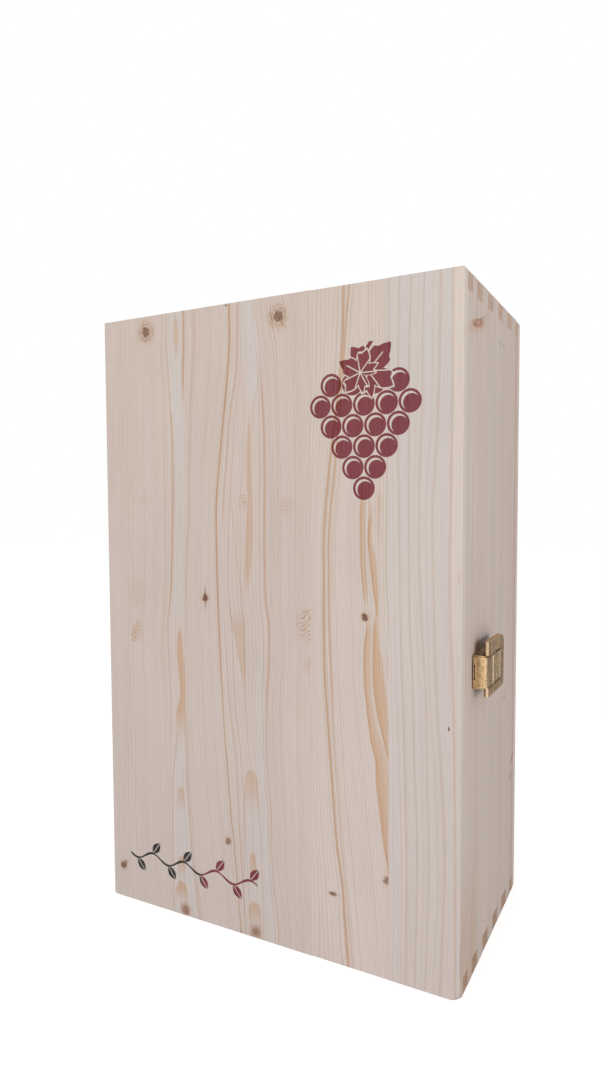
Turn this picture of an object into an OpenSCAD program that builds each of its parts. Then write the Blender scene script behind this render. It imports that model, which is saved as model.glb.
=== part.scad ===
// Two bottle wooden wine box, standing on its end with the lid at the front.
// Glued up closed from boards and panels, then sawn apart into lid and box.
// Millimetres. X runs to the right, Y from front to back, Z up.
// The origin is the centre of the underside of the woodwork.

/* [Box] */
// Width of the box across its front
box_w = 218; // [190:1:250]
// Depth of the box from front face to back face
box_d = 124; // [112:1:150]
// Height of the box standing on its end
box_h = 350; // [330:1:400]
// Thickness of the side walls and of the end boards
wall_t = 9; // [8.5:0.5:12]
// Thickness of the front and back panels
panel_t = 6; // [5:0.5:8]
// Distance from the front face to the saw cut between lid and box
split_d = 20; // [19:0.5:28]
// Gap between the closed lid and the box
lid_gap = 0.15; // [0.1:0.05:0.4]

/* [Corner joints] */
// Width of one finger and of the space beside it
finger_w = 11.1; // [9:0.1:14]
// Wood that the saw took away when the lid was cut off
saw_kerf = 3.5; // [1:0.5:4]
// Distance from the saw cut to the first finger on the box
first_finger = 2.4; // [2:0.1:5]

/* [Panels] */
// Width of the right hand stave of each panel
stave_right_w = 36.6; // [25:0.1:50]
// Width of the middle stave of each panel
stave_middle_w = 43.2; // [25:0.1:60]
// Length worn off each edge at the lower right corner of the lid
ease_right = 5; // [1:0.5:5]
// Length worn off each edge at the lower left corner of the lid
ease_left = 1.5; // [1:0.5:5]

/* [Divider] */
// Thickness of the board between the two bottles
divider_t = 6; // [4:0.5:8]
// Depth of the grooves that hold the divider in the end boards
groove_d = 3; // [2:0.5:5]
// Clearance of the divider in its grooves, on each side
groove_fit = 0.1; // [0.05:0.05:0.3]
// Distance from the saw cut to the front edge of the divider
divider_setback = 1; // [0.5:0.5:5]

/* [Nails] */
// Radius of a nail shank
nail_r = 0.6; // [0.5:0.05:0.8]
// Length of a nail under its head
nail_l = 8; // [6:0.5:9]
// Radius of a nail head
nail_head_r = 1.3; // [1.1:0.05:1.6]
// Height of a domed nail head
nail_head_h = 0.55; // [0.4:0.05:0.8]
// Radial clearance of a nail in its hole
nail_fit = 0.02; // [0.01:0.01:0.05]

/* [Hinges] */
// Height of a hinge
leaf_h = 30; // [24:1:40]
// Width of one hinge leaf from the pin outwards
leaf_w = 11; // [9:0.5:12]
// Thickness of the sheet that the leaves are made of
leaf_t = 0.8; // [0.6:0.1:1]
// Outer radius of the hinge knuckles
knuckle_r = 1.6; // [1.4:0.1:2.2]
// Radius of the hinge pin
pin_r = 0.75; // [0.6:0.05:0.9]
// Radial clearance between every pin and its bore
pin_fit = 0.03; // [0.02:0.01:0.08]
// Gap between neighbouring knuckles
knuckle_gap = 0.2; // [0.1:0.05:0.4]
// Distance from each end of the box to the middle of its hinge
hinge_inset = 60; // [40:1:90]
// Distance from the pin to the row of nails in a leaf
hinge_nail_y = 6.4; // [5:0.1:7.5]

/* [Latch] */
// Height of the middle of the latch above the underside
latch_z = 158; // [100:1:250]
// Thickness of the keeper and of the base plate
plate_t = 0.8; // [0.6:0.1:1]
// Thickness of the strap
strap_t = 0.7; // [0.5:0.05:0.9]
// Half of the height of the strap
strap_hw = 7.4; // [6:0.1:9]
// Distance from the wall to the outer face of the strap
strap_out = 7.8; // [7.6:0.1:9]
// Gap between the hook plate of the strap and the keeper
hook_gap = 0.1; // [0.05:0.05:0.3]
// Gap between the inner edge of the hook plate and the wall
hook_foot = 0.5; // [0.4:0.1:1.2]
// Distance from the saw cut back to the pin of the lever
lever_pin_y = 3.2; // [2.8:0.1:5]
// Radius of the two pins of the latch
latch_pin_r = 0.45; // [0.35:0.05:0.5]
// Radius of the ears that hold the lever pin
ear_r = 0.75; // [0.7:0.05:0.9]
// Thickness of an ear
ear_t = 1; // [0.8:0.1:1.4]
// Gap between the ears and the strap that passes over them
ear_gap = 0.15; // [0.1:0.05:0.3]
// Radius of the rolled front ends of the lever
barrel_r = 1.35; // [1.2:0.05:1.6]
// Total thickness of the pressed lever
lever_t = 2.4; // [2:0.1:3]
// Thickness of the sheet of the lever
lever_skin = 0.8; // [0.6:0.1:1]
// Gap between the strap and the wings of the lever
wing_gap = 0.6; // [0.4:0.1:1]
// Height of the upper wing of the lever
upper_wing = 6.9; // [4.5:0.1:8]
// Height of the lower wing of the lever
lower_wing = 4.7; // [4.5:0.1:7]
// Distance from the lever pin to the strap pin
lever_arm = 22; // [20:0.1:32]
// Distance from the strap pin to the cross bar of the lever
bar_gap = 1.9; // [1.7:0.1:3]
// Width of the cross bar of the lever
bar_w = 7; // [3.4:0.1:8]
// Radius of the upper back corner of the lever
upper_corner = 6; // [2.5:0.5:6.5]
// Radius of the lower back corner of the lever
lower_corner = 3; // [2.5:0.5:5]
// Radius of the rolled end of the strap
roll_r = 1.25; // [1.1:0.05:1.4]
// Length of the keeper inside the lid, from the outer face of the wall
keeper_leg = 7; // [6:0.5:7.5]
// Length by which the keeper stands out from the wall
keeper_out = 6.4; // [5:0.1:6.8]
// Height by which the keeper is wider than the strap, on each side
keeper_lip = 0.9; // [0.4:0.1:1.5]
// Distance from the saw cut to the front edge of the base plate
base_front = 0.9; // [0.5:0.1:2]
// Length of the base plate
base_l = 24; // [18:0.5:28]
// Half of the height of the base plate
base_hw = 9; // [8:0.1:11]
// Distance from the middle of the latch to its nails
latch_nail_z = 4.6; // [3:0.1:6]
// Radius of the ends of the stamped slot in the hook plate
slot_r = 0.5; // [0.3:0.02:0.6]
// Half of the length of the stamped slot
slot_half = 3.2; // [2:0.1:4.5]

/* [Hidden] */
$fn = 48;

wood = "burlywood";
end_wood = "tan";
brass = "goldenrod";

// Amount by which a cutting shape runs past the face that it cuts
past = 1;

// Main planes of the woodwork
x_wall = box_w / 2;
y_front = -box_d / 2;
y_back = box_d / 2;
y_cut = y_front + split_d;
y_box = y_cut + lid_gap;
y_lid_frame = y_front + panel_t;
y_box_frame = y_back - panel_t;
lid_frame_d = y_cut - y_lid_frame;
box_frame_d = y_box_frame - y_box;
bay_h = box_h - 2 * wall_t;

// Stave joints across each panel
x_right_joint = x_wall - stave_right_w;
x_middle_joint = x_right_joint - stave_middle_w;

// Finger joint, counted from the saw cut on either side of it
finger_pitch = 2 * finger_w;
least_finger = 1;
lid_space = finger_w - saw_kerf - first_finger;
box_fingers = [
  for (s = first_finger; s < box_frame_d - least_finger; s = s + finger_pitch)
    [y_box + s, y_box + min(s + finger_w, box_frame_d)]
];
lid_fingers = [
  for (s = lid_space; s < lid_frame_d - least_finger; s = s + finger_pitch)
    [y_cut - min(s + finger_w, lid_frame_d), y_cut - s]
];

// Hinges, on the left hand wall
hinge_clear = 0.2;
hinge_off = knuckle_r + hinge_clear;
knuckle_room = knuckle_r + 0.3;
knuckle_count = 5;
knuckle_l = leaf_h / knuckle_count;
hinge_nail_z = leaf_h / 3;
pin_head_r = knuckle_r - 0.35;
pin_head_h = 0.6;
hinge_y = y_cut + lid_gap / 2;
hinge_heights = [box_h - hinge_inset, hinge_inset];

// Latch, on the right hand wall: x from the wall, y from the saw cut, z from its middle
strap_in = strap_out - strap_t;
lever_pin_x = strap_in - ear_gap - ear_r;
strap_pin_x = strap_out - roll_r;
strap_pin_y = lever_pin_y + lever_arm;
wing_in = strap_hw + wing_gap;
lever_top = wing_in + upper_wing;
lever_low = -wing_in - lower_wing;
lever_out = lever_pin_x + barrel_r + 0.05;
lever_in = lever_out - lever_t;
bar_y = strap_pin_y + bar_gap;
lever_end = bar_y + bar_w;
keeper_hw = strap_hw + keeper_lip;
keeper_corner = 1.4;
hook_back = -plate_t - hook_gap;
hook_front = hook_back - strap_t;
bend_r = 1.3;
slot_x = hook_foot + slot_r + 0.25;
slot_w = 0.5;
bead_y = lever_pin_y + 6.2;
bead_w = 1.8;
bead_h = 0.25;
ear_z = strap_hw - ear_t;
latch_nail_ys = [base_front + 9, base_front + 20];
keeper_nail_x = -keeper_leg / 2;
keeper_seat = 0.05;
nail_tip = 1.6;

// Straight board between two corners
module board(low, high) {
  translate(low) cube(high - low);
}

// Nail along minus Z with its domed head on the plane z = 0
module nail() {
  dome_r = (nail_head_r * nail_head_r + nail_head_h * nail_head_h) / (2 * nail_head_h);
  intersection() {
    translate([0, 0, nail_head_h - dome_r]) sphere(r = dome_r);
    cylinder(r = nail_head_r, h = nail_head_h);
  }
  translate([0, 0, nail_tip - nail_l]) cylinder(r = nail_r, h = nail_l - nail_tip);
  translate([0, 0, -nail_l]) cylinder(r1 = nail_r / 4, r2 = nail_r, h = nail_tip);
}

// Hole for the nail above
module nail_hole() {
  translate([0, 0, -nail_l]) cylinder(r = nail_r + nail_fit, h = nail_l + past);
}

// Countersunk nail for the keeper, its head flush with z = 0
module flush_nail(fit = 0) {
  translate([0, 0, -plate_t]) cylinder(r1 = nail_r + fit, r2 = nail_head_r + fit, h = plate_t);
  translate([0, 0, nail_tip - nail_l]) cylinder(r = nail_r + fit, h = nail_l - nail_tip - plate_t);
  translate([0, 0, -nail_l]) cylinder(r1 = nail_r / 4 + fit, r2 = nail_r + fit, h = nail_tip);
}

// Wear at a lower corner of the lid, cut by a ball that meets each edge where the wear ends
module worn_corner(side, ease) {
  depth = 1.5 * ease;
  ball_r = sqrt((depth - ease) * (depth - ease) + 2 * depth * depth);
  translate([side * x_wall, y_front, 0])
    difference() {
      translate([side > 0 ? -ease - past : -past, -past, -past])
        cube([ease + 2 * past, ease + 2 * past, ease + 2 * past]);
      translate([-side * depth, depth, depth]) sphere(r = ball_r);
    }
}

// Stave of a panel, from one depth to another
module stave(x_low, x_high, y_low, y_high) {
  color(wood) board([x_low, y_low, 0], [x_high, y_high, box_h]);
}

// Side board of the frame, notched at both ends for the fingers of the end boards
module side_board(side, y_low, y_high, fingers) {
  x_low = side > 0 ? x_wall - wall_t : -x_wall;
  color(wood)
    difference() {
      board([x_low, y_low, 0], [x_low + wall_t, y_high, box_h]);
      for (f = fingers)
        for (z = [-past, box_h - wall_t])
          board([x_low - past, f[0], z], [x_low + wall_t + past, f[1], z + wall_t + past]);
    }
}

// End board of the frame with its fingers, lying between z and z + wall_t
module end_board(z, y_low, y_high, fingers) {
  inner = x_wall - wall_t;
  color(end_wood) {
    board([-inner, y_low, z], [inner, y_high, z + wall_t]);
    for (f = fingers)
      board([-x_wall, f[0], z], [x_wall, f[1], z + wall_t]);
  }
}

// Groove for the divider in the inner face of an end board
module divider_groove(z_low, z_high) {
  half = divider_t / 2 + groove_fit;
  board([-half, y_box - past, z_low], [half, y_box_frame + past, z_high]);
}

// Places of the nails in the hinge leaves of one body, heads outwards
module at_hinge_nails(side) {
  for (z = hinge_heights)
    for (k = [-1, 0, 1])
      translate([-x_wall - leaf_t, hinge_y + side * hinge_nail_y, z + k * hinge_nail_z])
        rotate([0, -90, 0])
          children();
}

// Places of the nails in the base plate of the latch, heads outwards
module at_latch_nails() {
  for (y = latch_nail_ys)
    for (s = [-1, 1])
      translate([x_wall + plate_t, y_cut + y, latch_z + s * latch_nail_z])
        rotate([0, 90, 0])
          children();
}

// Places of the nails of the keeper, heads towards the box
module at_keeper_nails() {
  for (s = [-1, 1])
    translate([x_wall + keeper_nail_x, y_cut, latch_z + s * latch_nail_z])
      rotate([-90, 0, 0])
        children();
}

// Origin of the latch's own measures
module at_latch() {
  translate([x_wall, y_cut, latch_z]) children();
}

// Round bar along the height, from one height to another
module latch_bar(x, y, r, z_low, z_high) {
  translate([x, y, z_low]) cylinder(r = r, h = z_high - z_low);
}

// Hinge leaf: side 1 is screwed to the box and side -1 to the lid
module hinge_leaf(z, side) {
  own = side > 0 ? [0, 2, 4] : [1, 3];
  plate_y = side > 0 ? knuckle_room : -leaf_w;
  color(brass)
    difference() {
      translate([-x_wall - hinge_off, hinge_y, z - leaf_h / 2])
        difference() {
          union() {
            translate([hinge_off - leaf_t, plate_y, 0])
              cube([leaf_t, leaf_w - knuckle_room, leaf_h]);
            for (k = own)
              translate([0, 0, k * knuckle_l + knuckle_gap / 2]) {
                cylinder(r = knuckle_r, h = knuckle_l - knuckle_gap);
                translate([hinge_off - leaf_t, side > 0 ? 0 : -knuckle_room - past, 0])
                  cube([leaf_t, knuckle_room + past, knuckle_l - knuckle_gap]);
              }
          }
          translate([0, 0, -past]) cylinder(r = pin_r + pin_fit, h = leaf_h + 2 * past);
        }
      at_hinge_nails(side) nail_hole();
    }
}

// Hinge pin with a small head at each end
module hinge_pin(z) {
  color(brass)
    translate([-x_wall - hinge_off, hinge_y, z - leaf_h / 2]) {
      cylinder(r = pin_r, h = leaf_h);
      translate([0, 0, leaf_h]) cylinder(r1 = pin_head_r, r2 = pin_head_r * 0.7, h = pin_head_h);
      translate([0, 0, -pin_head_h]) cylinder(r1 = pin_head_r * 0.7, r2 = pin_head_r, h = pin_head_h);
    }
}

// Outline of the lever in Y and Z, drawn in by an inset all round
module lever_outline(y_start, inset) {
  top = lever_top - inset;
  low = lever_low + inset;
  y_end = lever_end - inset;
  r_top = upper_corner - inset;
  r_low = lower_corner - inset;
  difference() {
    union() {
      translate([y_start, low + r_low]) square([y_end - y_start, top - r_top - low - r_low]);
      translate([y_start, low]) square([y_end - r_low - y_start, 2 * r_low]);
      translate([y_start, top - 2 * r_top]) square([y_end - r_top - y_start, 2 * r_top]);
      translate([y_end - r_low, low + r_low]) circle(r = r_low);
      translate([y_end - r_top, top - r_top]) circle(r = r_top);
    }
    translate([y_start - past, -wing_in - inset])
      square([bar_y + inset - y_start + past, 2 * (wing_in + inset)]);
  }
}

// Turns a shape drawn in Y and Z to stand along X
module along_x(x_low, x_high) {
  translate([x_low, 0, 0])
    rotate([90, 0, 90])
      linear_extrude(x_high - x_low)
        children();
}

module lid_stave_left() {
  difference() {
    stave(-x_wall, x_middle_joint, y_front, y_lid_frame);
    worn_corner(-1, ease_left);
  }
}

module lid_stave_middle() {
  stave(x_middle_joint, x_right_joint, y_front, y_lid_frame);
}

module lid_stave_right() {
  difference() {
    stave(x_right_joint, x_wall, y_front, y_lid_frame);
    worn_corner(1, ease_right);
  }
}

module lid_rim_left() {
  difference() {
    side_board(-1, y_lid_frame, y_cut, lid_fingers);
    at_hinge_nails(-1) nail_hole();
  }
}

module lid_rim_right() {
  seat = keeper_leg + keeper_seat;
  half = keeper_hw + keeper_seat;
  difference() {
    side_board(1, y_lid_frame, y_cut, lid_fingers);
    at_latch() board([-seat, -plate_t, -half], [past, past, half]);
    at_keeper_nails() flush_nail(nail_fit);
  }
}

module lid_rim_top() {
  end_board(box_h - wall_t, y_lid_frame, y_cut, lid_fingers);
}

module lid_rim_bottom() {
  end_board(0, y_lid_frame, y_cut, lid_fingers);
}

module wall_left() {
  difference() {
    side_board(-1, y_box, y_box_frame, box_fingers);
    at_hinge_nails(1) nail_hole();
  }
}

module wall_right() {
  difference() {
    side_board(1, y_box, y_box_frame, box_fingers);
    at_latch_nails() nail_hole();
  }
}

module end_board_top() {
  z_low = box_h - wall_t;
  difference() {
    end_board(z_low, y_box, y_box_frame, box_fingers);
    divider_groove(z_low - past, z_low + groove_d);
  }
}

module end_board_bottom() {
  difference() {
    end_board(0, y_box, y_box_frame, box_fingers);
    divider_groove(wall_t - groove_d, wall_t + past);
  }
}

module back_stave_left() {
  stave(-x_wall, x_middle_joint, y_box_frame, y_back);
}

module back_stave_middle() {
  stave(x_middle_joint, x_right_joint, y_box_frame, y_back);
}

module back_stave_right() {
  stave(x_right_joint, x_wall, y_box_frame, y_back);
}

module divider() {
  z_low = wall_t - groove_d;
  color(wood)
    board([-divider_t / 2, y_box + divider_setback, z_low],
          [divider_t / 2, y_box_frame, box_h - z_low]);
}

module upper_hinge_box_leaf() {
  hinge_leaf(hinge_heights[0], 1);
}

module upper_hinge_lid_leaf() {
  hinge_leaf(hinge_heights[0], -1);
}

module upper_hinge_pin() {
  hinge_pin(hinge_heights[0]);
}

module lower_hinge_box_leaf() {
  hinge_leaf(hinge_heights[1], 1);
}

module lower_hinge_lid_leaf() {
  hinge_leaf(hinge_heights[1], -1);
}

module lower_hinge_pin() {
  hinge_pin(hinge_heights[1]);
}

module box_hinge_nails() {
  color(brass) at_hinge_nails(1) nail();
}

module lid_hinge_nails() {
  color(brass) at_hinge_nails(-1) nail();
}

// Base plate on the wall with two ears for the lever pin
module latch_base() {
  color(brass)
    difference() {
      at_latch() {
        board([0, base_front, -base_hw], [plate_t, base_front + base_l, base_hw]);
        for (s = [-1, 1])
          translate([0, 0, s > 0 ? ear_z : -ear_z - ear_t])
            difference() {
              union() {
                board([0, lever_pin_y - ear_r, 0], [lever_pin_x, lever_pin_y + ear_r, ear_t]);
                translate([lever_pin_x, lever_pin_y, 0]) cylinder(r = ear_r, h = ear_t);
              }
              translate([lever_pin_x, lever_pin_y, -past])
                cylinder(r = latch_pin_r + pin_fit, h = ear_t + 2 * past);
            }
      }
      at_latch_nails() nail_hole();
    }
}

module latch_base_nails() {
  color(brass) at_latch_nails() nail();
}

// Bore for a pin, right through the lever
module lever_bore(x, y) {
  latch_bar(x, y, latch_pin_r + pin_fit, lever_low - past, lever_top + past);
}

// Pressed frame with two wings, rolled round the lever pin at the front
module latch_lever() {
  pocket_start = lever_pin_y + barrel_r + lever_skin;
  color(brass)
    at_latch()
      difference() {
        union() {
          along_x(lever_in, lever_out) lever_outline(lever_pin_y, 0);
          latch_bar(lever_pin_x, lever_pin_y, barrel_r, lever_low, -wing_in);
          latch_bar(lever_pin_x, lever_pin_y, barrel_r, wing_in, lever_top);
        }
        along_x(lever_in - past, lever_out - lever_skin) lever_outline(pocket_start, lever_skin);
        lever_bore(lever_pin_x, lever_pin_y);
        lever_bore(strap_pin_x, strap_pin_y);
      }
}

module lever_pin() {
  color(brass) at_latch() latch_bar(lever_pin_x, lever_pin_y, latch_pin_r, lever_low, lever_top);
}

// Round bar as high as the strap, or longer at both ends
module strap_bar(x, y, r, more = 0) {
  latch_bar(x, y, r, -strap_hw - more, strap_hw + more);
}

// Bent strap: hook plate in front of the keeper, flat arm, and a roll round the strap pin
module latch_strap() {
  color(brass)
    at_latch()
      difference() {
        union() {
          board([hook_foot, hook_front, -strap_hw], [strap_out - bend_r, hook_back, strap_hw]);
          board([strap_in, hook_front + bend_r, -strap_hw], [strap_out, strap_pin_y, strap_hw]);
          intersection() {
            difference() {
              strap_bar(strap_out - bend_r, hook_front + bend_r, bend_r);
              strap_bar(strap_out - bend_r, hook_front + bend_r, bend_r - strap_t, past);
            }
            board([strap_out - bend_r, hook_front, -strap_hw],
                  [strap_out, hook_front + bend_r, strap_hw]);
          }
          strap_bar(strap_pin_x, strap_pin_y, roll_r);
          intersection() {
            strap_bar(strap_out + bead_h - bead_w / 2, bead_y, bead_w / 2);
            board([strap_in, bead_y - bead_w, -strap_hw],
                  [strap_out + past, bead_y + bead_w, strap_hw]);
          }
        }
        strap_bar(strap_pin_x, strap_pin_y, latch_pin_r + pin_fit, past);
        hook_slot();
      }
}

// Stamped slot with a round hole at each end, near the foot of the hook plate
module hook_slot() {
  for (s = [-1, 1])
    translate([slot_x, hook_front - past, s * slot_half])
      rotate([-90, 0, 0])
        cylinder(r = slot_r, h = strap_t + 2 * past);
  board([slot_x - slot_w / 2, hook_front - past, -slot_half],
        [slot_x + slot_w / 2, hook_back + past, slot_half]);
}

module strap_pin() {
  color(brass) at_latch() latch_bar(strap_pin_x, strap_pin_y, latch_pin_r, lever_low, lever_top);
}

// Flat keeper let into the cut face of the lid, its outer end standing clear of the wall
module keeper() {
  color(brass)
    difference() {
      at_latch() {
        board([-keeper_leg, -plate_t, -keeper_hw], [keeper_out - keeper_corner, 0, keeper_hw]);
        board([-keeper_leg, -plate_t, keeper_corner - keeper_hw],
              [keeper_out, 0, keeper_hw - keeper_corner]);
        for (s = [-1, 1])
          translate([keeper_out - keeper_corner, 0, s * (keeper_hw - keeper_corner)])
            rotate([90, 0, 0])
              cylinder(r = keeper_corner, h = plate_t);
      }
      at_keeper_nails() flush_nail(nail_fit);
    }
}

module keeper_nails() {
  color(brass) at_keeper_nails() flush_nail();
}

lid_stave_left();
lid_stave_middle();
lid_stave_right();
lid_rim_left();
lid_rim_right();
lid_rim_top();
lid_rim_bottom();
wall_left();
wall_right();
end_board_top();
end_board_bottom();
back_stave_left();
back_stave_middle();
back_stave_right();
divider();
upper_hinge_box_leaf();
upper_hinge_lid_leaf();
upper_hinge_pin();
lower_hinge_box_leaf();
lower_hinge_lid_leaf();
lower_hinge_pin();
box_hinge_nails();
lid_hinge_nails();
latch_base();
latch_base_nails();
latch_lever();
lever_pin();
latch_strap();
strap_pin();
keeper();
keeper_nails();
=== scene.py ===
import math

import bpy
from mathutils import Matrix, Vector

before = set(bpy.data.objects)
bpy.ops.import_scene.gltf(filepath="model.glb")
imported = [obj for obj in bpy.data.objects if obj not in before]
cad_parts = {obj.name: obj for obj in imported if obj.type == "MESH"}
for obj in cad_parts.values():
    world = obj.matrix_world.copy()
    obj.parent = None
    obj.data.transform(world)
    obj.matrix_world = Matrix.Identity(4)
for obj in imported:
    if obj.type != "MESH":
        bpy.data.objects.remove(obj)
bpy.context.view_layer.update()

# Sizes of the box in millimetres, as in the part's source
BOX_W = 218.0
BOX_D = 124.0
BOX_H = 350.0
X_WALL = BOX_W / 2
Y_FACE = BOX_D / 2
LATCH_Z = 158.0

# Millimetres in a metre
MM = 1000.0


# Numbers in a material's node tree

class Num:
    """A number that a node tree works out, with the usual arithmetic."""

    tree = None

    def __init__(self, socket):
        self.socket = socket

    def __add__(self, other):
        return math_node("ADD", self, other)

    def __sub__(self, other):
        return math_node("SUBTRACT", self, other)

    def __rsub__(self, other):
        return math_node("SUBTRACT", other, self)

    def __mul__(self, other):
        return math_node("MULTIPLY", self, other)

    __rmul__ = __mul__

    def __truediv__(self, other):
        return math_node("DIVIDE", self, other)

    def __neg__(self):
        return math_node("MULTIPLY", self, -1.0)

    def __abs__(self):
        return math_node("ABSOLUTE", self)


def feed(socket, value):
    """Gives a socket a constant, or links it to a number or to another socket."""
    if isinstance(value, Num):
        value = value.socket
    if isinstance(value, bpy.types.NodeSocket):
        Num.tree.links.new(value, socket)
    else:
        socket.default_value = value


def node(kind, *values, **settings):
    """Adds a node to the tree in hand and feeds its inputs, from the first one on.

    What a node reads is made before it, which keeps Cycles' stack short.
    """
    made = Num.tree.nodes.new(kind)
    for name, value in settings.items():
        setattr(made, name, value)
    for socket, value in zip(made.inputs, values):
        feed(socket, value)
    return made


def node_with(kind, inputs, **settings):
    """Adds a node and feeds its inputs by their names."""
    made = node(kind, **settings)
    for name, value in inputs.items():
        feed(made.inputs[name], value)
    return made


def math_node(operation, *values):
    return Num(node("ShaderNodeMath", *values, operation=operation).outputs[0])


def build_group(build, count):
    """Node group of what a function of so many numbers builds."""
    outside = Num.tree
    group = bpy.data.node_groups.new(build.__name__, "ShaderNodeTree")
    Num.tree = group
    for index in range(count):
        group.interface.new_socket(f"in_{index}", in_out="INPUT", socket_type="NodeSocketFloat")
    given = node("NodeGroupInput")
    results = build(*[Num(given.outputs[i]) for i in range(count)])
    results = results if isinstance(results, tuple) else (results,)
    for index in range(len(results)):
        group.interface.new_socket(f"out_{index}", in_out="OUTPUT", socket_type="NodeSocketFloat")
    node("NodeGroupOutput", *results)
    Num.tree = outside
    return group


def grouped(build):
    """Keeps what a function of numbers builds as a node group, and sets that in at each call."""
    kept = []

    def call(*values):
        if not kept:
            kept.append(build_group(build, len(values)))
        placed = node("ShaderNodeGroup", *values, node_tree=kept[0])
        results = [Num(socket) for socket in placed.outputs]
        return results[0] if len(results) == 1 else tuple(results)

    return call


def clamped(value, least=0.0, most=1.0):
    """Cycles sets a node's own clamp last of all, which would keep every value waiting for it."""
    return math_node("MINIMUM", math_node("MAXIMUM", value, least), most)


def map_range(kind, *values):
    return Num(node("ShaderNodeMapRange", *values, interpolation_type=kind, clamp=False).outputs[0])


def ramp(value, low, high, to_low=0.0, to_high=1.0):
    """Eases from to_low at low to to_high at high, and stays there beyond both."""
    return map_range("SMOOTHSTEP", value, low, high, to_low, to_high)


def straight(value, low, high, most=1.0):
    """Runs straight up from 0 at low to most at high, and stays there beyond both."""
    return clamped(map_range("LINEAR", value, low, high, 0.0, most), 0.0, most)


@grouped
def rough_noise(x, y, z, detail, rough):
    place = node("ShaderNodeCombineXYZ", x, y, z).outputs[0]
    made = node_with("ShaderNodeTexNoise",
                     {"Vector": place, "Scale": 1.0, "Detail": detail, "Roughness": rough})
    return math_node("MULTIPLY_ADD", Num(made.outputs[0]), 2.0, -1.0)


def noise(x, y, z=0.0, detail=2.0, rough=0.5):
    """Smooth noise about zero, mostly within half a unit either way."""
    return rough_noise(x, y, z, detail, rough)


def chance(value, seed):
    """One random number from 0 to 1 for each whole value."""
    whole = math_node("FLOOR", value) + seed
    made = node_with("ShaderNodeTexWhiteNoise", {"W": whole}, noise_dimensions="1D")
    return Num(made.outputs["Value"])


def length(x, y):
    return math_node("SQRT", math_node("MULTIPLY_ADD", x, x, y * y))


def path(along, points, span=BOX_H, reach=BOX_W, handles="AUTO_CLAMPED"):
    """Smooth curve through listed points (along, across), in millimetres."""
    part = along / span
    made = node("ShaderNodeFloatCurve")
    made.mapping.use_clip = False
    curve = made.mapping.curves[0]
    for index, (x, y) in enumerate(points):
        place = (x / span, y / reach)
        if index < 2:
            curve.points[index].location = place
        else:
            curve.points.new(*place)
    for point in curve.points:
        point.handle_type = handles
    made.mapping.extend = "HORIZONTAL"
    made.mapping.update()
    feed(made.inputs["Value"], part)
    return Num(made.outputs[0]) * reach


# A fade is where a mark starts, is whole, begins to go and has gone, along the board
BEFORE = (-40.0, -30.0)
BEYOND = (400.0, 410.0)
ALWAYS = BEFORE + BEYOND


def until(leave, gone):
    """Fade of a mark that is there from the board's start."""
    return BEFORE + (leave, gone)


def since(start, whole):
    """Fade of a mark that runs on to the board's end."""
    return (start, whole) + BEYOND


def window(value, start, whole, leave, gone):
    return ramp(value, start, whole) * ramp(value, leave, gone, 1.0, 0.0)


# Colours

def linear(*rgb):
    """Scene colour for an sRGB colour of 0 to 255."""
    parts = [c / 255 for c in rgb]
    return tuple(p / 12.92 if p <= 0.04045 else ((p + 0.055) / 1.055) ** 2.4 for p in parts)


# A Mix node's sockets for two colours and for what they make
FIRST_COLOUR = 6
SECOND_COLOUR = 7
MIXED_COLOUR = 2


def blend(amount, first, second, mode="MIX"):
    """Mixes two colours, each a triple or a socket."""
    made = node("ShaderNodeMix", data_type="RGBA", blend_type=mode)
    feed(made.inputs["Factor"], amount)
    for index, value in ((FIRST_COLOUR, first), (SECOND_COLOUR, second)):
        feed(made.inputs[index], (*value, 1.0) if isinstance(value, tuple) else value)
    return made.outputs[MIXED_COLOUR]


def tint(colour, amount, ratio):
    """Multiplies a colour by a ratio, as far as the amount says."""
    return blend(amount, colour, ratio, "MULTIPLY")


AMBER = (0.845, 0.66, 0.51)
RING = (0.80, 0.71, 0.62)
HONEY = (0.91, 0.71, 0.52)
KNOT = (0.33, 0.22, 0.17)
REDDISH = (0.70, 0.50, 0.42)
PALE = (0.99, 1.055, 1.105)
WARM = (1.10, 1.06, 1.0)
END_GRAIN = (0.90, 0.80, 0.72)
SAWN_RING = (0.74, 0.58, 0.45)
WINE_INK = (0.30, 0.052, 0.085)
BLACK_INK = (0.025, 0.027, 0.034)


def clear_tree(owner):
    """Takes the node tree of a material or of the world in hand, with nothing in it."""
    owner.use_nodes = True
    Num.tree = owner.node_tree
    Num.tree.nodes.clear()


def begin_material(name):
    """Starts a material. Gives it with the point in metres and the normal, each as X, Y and Z."""
    material = bpy.data.materials.new(name)
    clear_tree(material)
    coords = node("ShaderNodeTexCoord")
    point = node("ShaderNodeSeparateXYZ", coords.outputs["Object"])
    normal = node("ShaderNodeSeparateXYZ", coords.outputs["Normal"])
    return material, [Num(s) for s in point.outputs], [Num(s) for s in normal.outputs]


def end_material(shader, height, strength, distance):
    """Gives the shader a bump of the height and makes it the surface."""
    inputs = {"Strength": strength, "Distance": distance, "Height": height}
    bump = node_with("ShaderNodeBump", inputs)
    feed(shader.inputs["Normal"], bump.outputs[0])
    node("ShaderNodeOutputMaterial", shader.outputs[0])


# Wood

@grouped
def line_mark(so_far, across, along, centre, strength, half_width, start, whole, leave, gone):
    off = across - centre
    mark = ramp(off, -1.5 * half_width, 0.1 * half_width)
    mark = ramp(off, 0.35 * half_width, 0.85 * half_width, strength, 0) * mark
    return window(along, start, whole, leave, gone) * mark + so_far


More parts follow.
